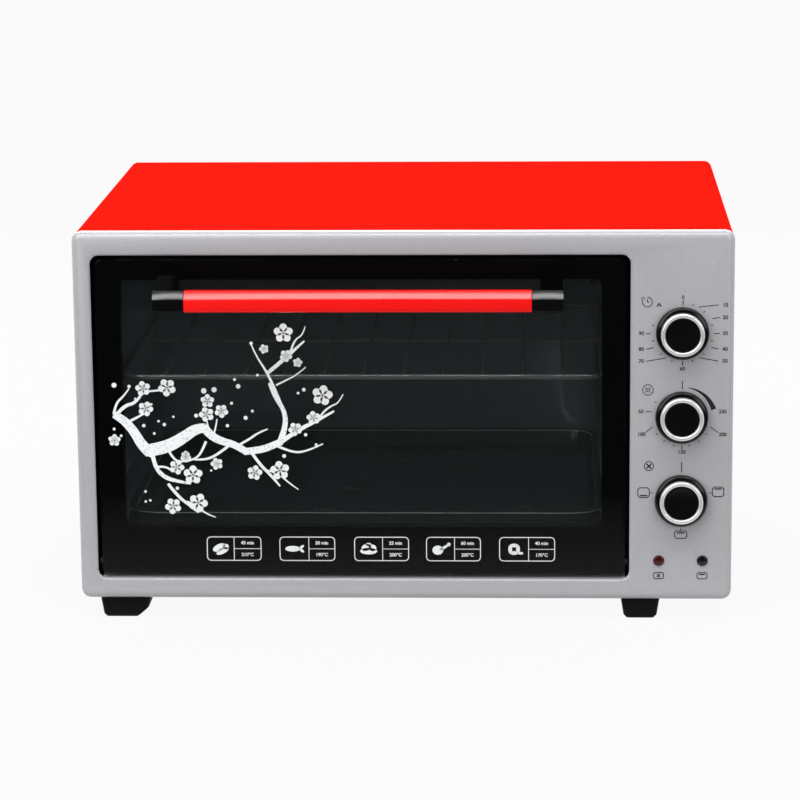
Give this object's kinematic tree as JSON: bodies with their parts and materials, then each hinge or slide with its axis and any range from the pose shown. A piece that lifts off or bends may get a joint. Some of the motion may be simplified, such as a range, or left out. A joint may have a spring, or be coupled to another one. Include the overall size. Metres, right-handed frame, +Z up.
{
  "type": "mini oven",
  "caption": "Table-top mini oven with a red casing, a silver face, a drop-down black glass door with a bar handle, turning control knobs, indicator lamps, a wire rack and a baking tray.",
  "frame": {"origin": "bottom centre of the bounding box: the middle of the width and depth, on the surface that the feet stand on", "axes": "+Z up, -Y out of the oven's front, +X to the right seen from the front, the side with the knobs"},
  "size_m": [0.57, 0.46, 0.3445],
  "materials": {
    "silver_paint": "silver paint on a moulded frame, satin",
    "red_enamel": "gloss red enamel on sheet steel",
    "black_glass": "black-printed tempered glass with a clear window",
    "clear_glass": "clear tempered glass",
    "galvanised_sheet": "galvanised sheet steel, dull",
    "cavity_enamel": "dark grey enamel, worn satin",
    "steel": "bare steel, satin",
    "chrome": "bright chrome plate",
    "gloss_black": "gloss black moulding",
    "red_lacquer": "gloss red lacquer",
    "black_rubber": "matt black rubber",
    "grey_silicone": "matt grey silicone",
    "black_enamel": "black enamel, semi-gloss",
    "phenolic": "dark moulded phenolic",
    "white_plastic": "off-white heat-resistant moulding",
    "copper": "drawn copper tube",
    "red_lens": "clear dark red lens"
  },
  "bodies": {
    "oven": {"front_frame": "silver_paint", "outer_casing": "red_enamel", "base_plate": "galvanised_sheet", "rear_cover": "galvanised_sheet", "foot_front_left": "black_rubber", "foot_front_right": "black_rubber", "foot_rear_left": "black_rubber", "foot_rear_right": "black_rubber", "cavity_mouth": "galvanised_sheet", "cavity_left_wall": "cavity_enamel", "cavity_right_wall": "cavity_enamel", "cavity_roof": "cavity_enamel", "cavity_floor": "cavity_enamel", "cavity_back": "cavity_enamel", "heating_rod_lower_front": "steel", "heating_rod_lower_rear": "steel", "heating_rod_upper_front": "steel", "heating_rod_upper_rear": "steel", "hinge_bracket_left": "steel", "hinge_bracket_right": "steel", "door_spring_left": "steel", "door_spring_right": "steel", "timer_unit": "steel", "thermostat_unit": "steel", "function_switch": "phenolic", "thermostat_bulb": "copper", "indicator_lens_left": "red_lens", "indicator_lens_right": "red_lens", "indicator_holder_left": "white_plastic", "indicator_holder_right": "white_plastic", "terminal_block": "white_plastic", "cord_grommet": "black_rubber"},
    "door": {"door_outer_glass": "black_glass", "door_inner_frame": "black_enamel", "door_inner_glass": "clear_glass", "door_seal": "grey_silicone", "handle_bar": "red_lacquer", "handle_end_left": "gloss_black", "handle_end_right": "gloss_black", "hinge_pin_left": "steel", "hinge_pin_right": "steel", "door_stay_left": "steel", "door_stay_right": "steel"},
    "rack": {"wire_rack": "chrome"},
    "tray": {"baking_tray": "black_enamel"},
    "timer": {"timer_knob": "gloss_black", "timer_knob_ring": "chrome", "timer_knob_cap": "gloss_black", "timer_spindle": "steel"},
    "temperature": {"temperature_knob": "gloss_black", "temperature_knob_ring": "chrome", "temperature_knob_cap": "gloss_black", "temperature_spindle": "steel"},
    "function": {"function_knob": "gloss_black", "function_knob_ring": "chrome", "function_knob_cap": "gloss_black", "function_spindle": "steel"}
  },
  "joints": [
    {"name": "door_hinge", "type": "hinge", "parent": "oven", "child": "door", "pos_m": [-0.03665, -0.1845, 0.0507], "axis": [1, 0, 0], "range_deg": [0, 90], "stiffness_Nm_per_rad": 0.6, "springref_deg": -45.84},
    {"name": "rack_slide", "type": "slide", "parent": "oven", "child": "rack", "axis": [0, -1, 0], "range_m": [0, 0.25]},
    {"name": "tray_slide", "type": "slide", "parent": "oven", "child": "tray", "axis": [0, -1, 0], "range_m": [0, 0.06]},
    {"name": "timer_turn", "type": "hinge", "parent": "oven", "child": "timer", "pos_m": [0.24055, -0.193, 0.25602], "axis": [0, 1, 0], "range_deg": [0, 330]},
    {"name": "temperature_turn", "type": "hinge", "parent": "oven", "child": "temperature", "pos_m": [0.24055, -0.193, 0.18207], "axis": [0, 1, 0], "range_deg": [0, 270]},
    {"name": "function_turn", "type": "hinge", "parent": "oven", "child": "function", "pos_m": [0.24055, -0.193, 0.10811], "axis": [0, 1, 0], "range_deg": [0, 270]}
  ],
  "couplings": [
    {"joint": "rack_slide", "follows": "door_hinge", "m_per_rad": 0.155},
    {"joint": "tray_slide", "follows": "door_hinge", "m_per_rad": 0.034}
  ]
}
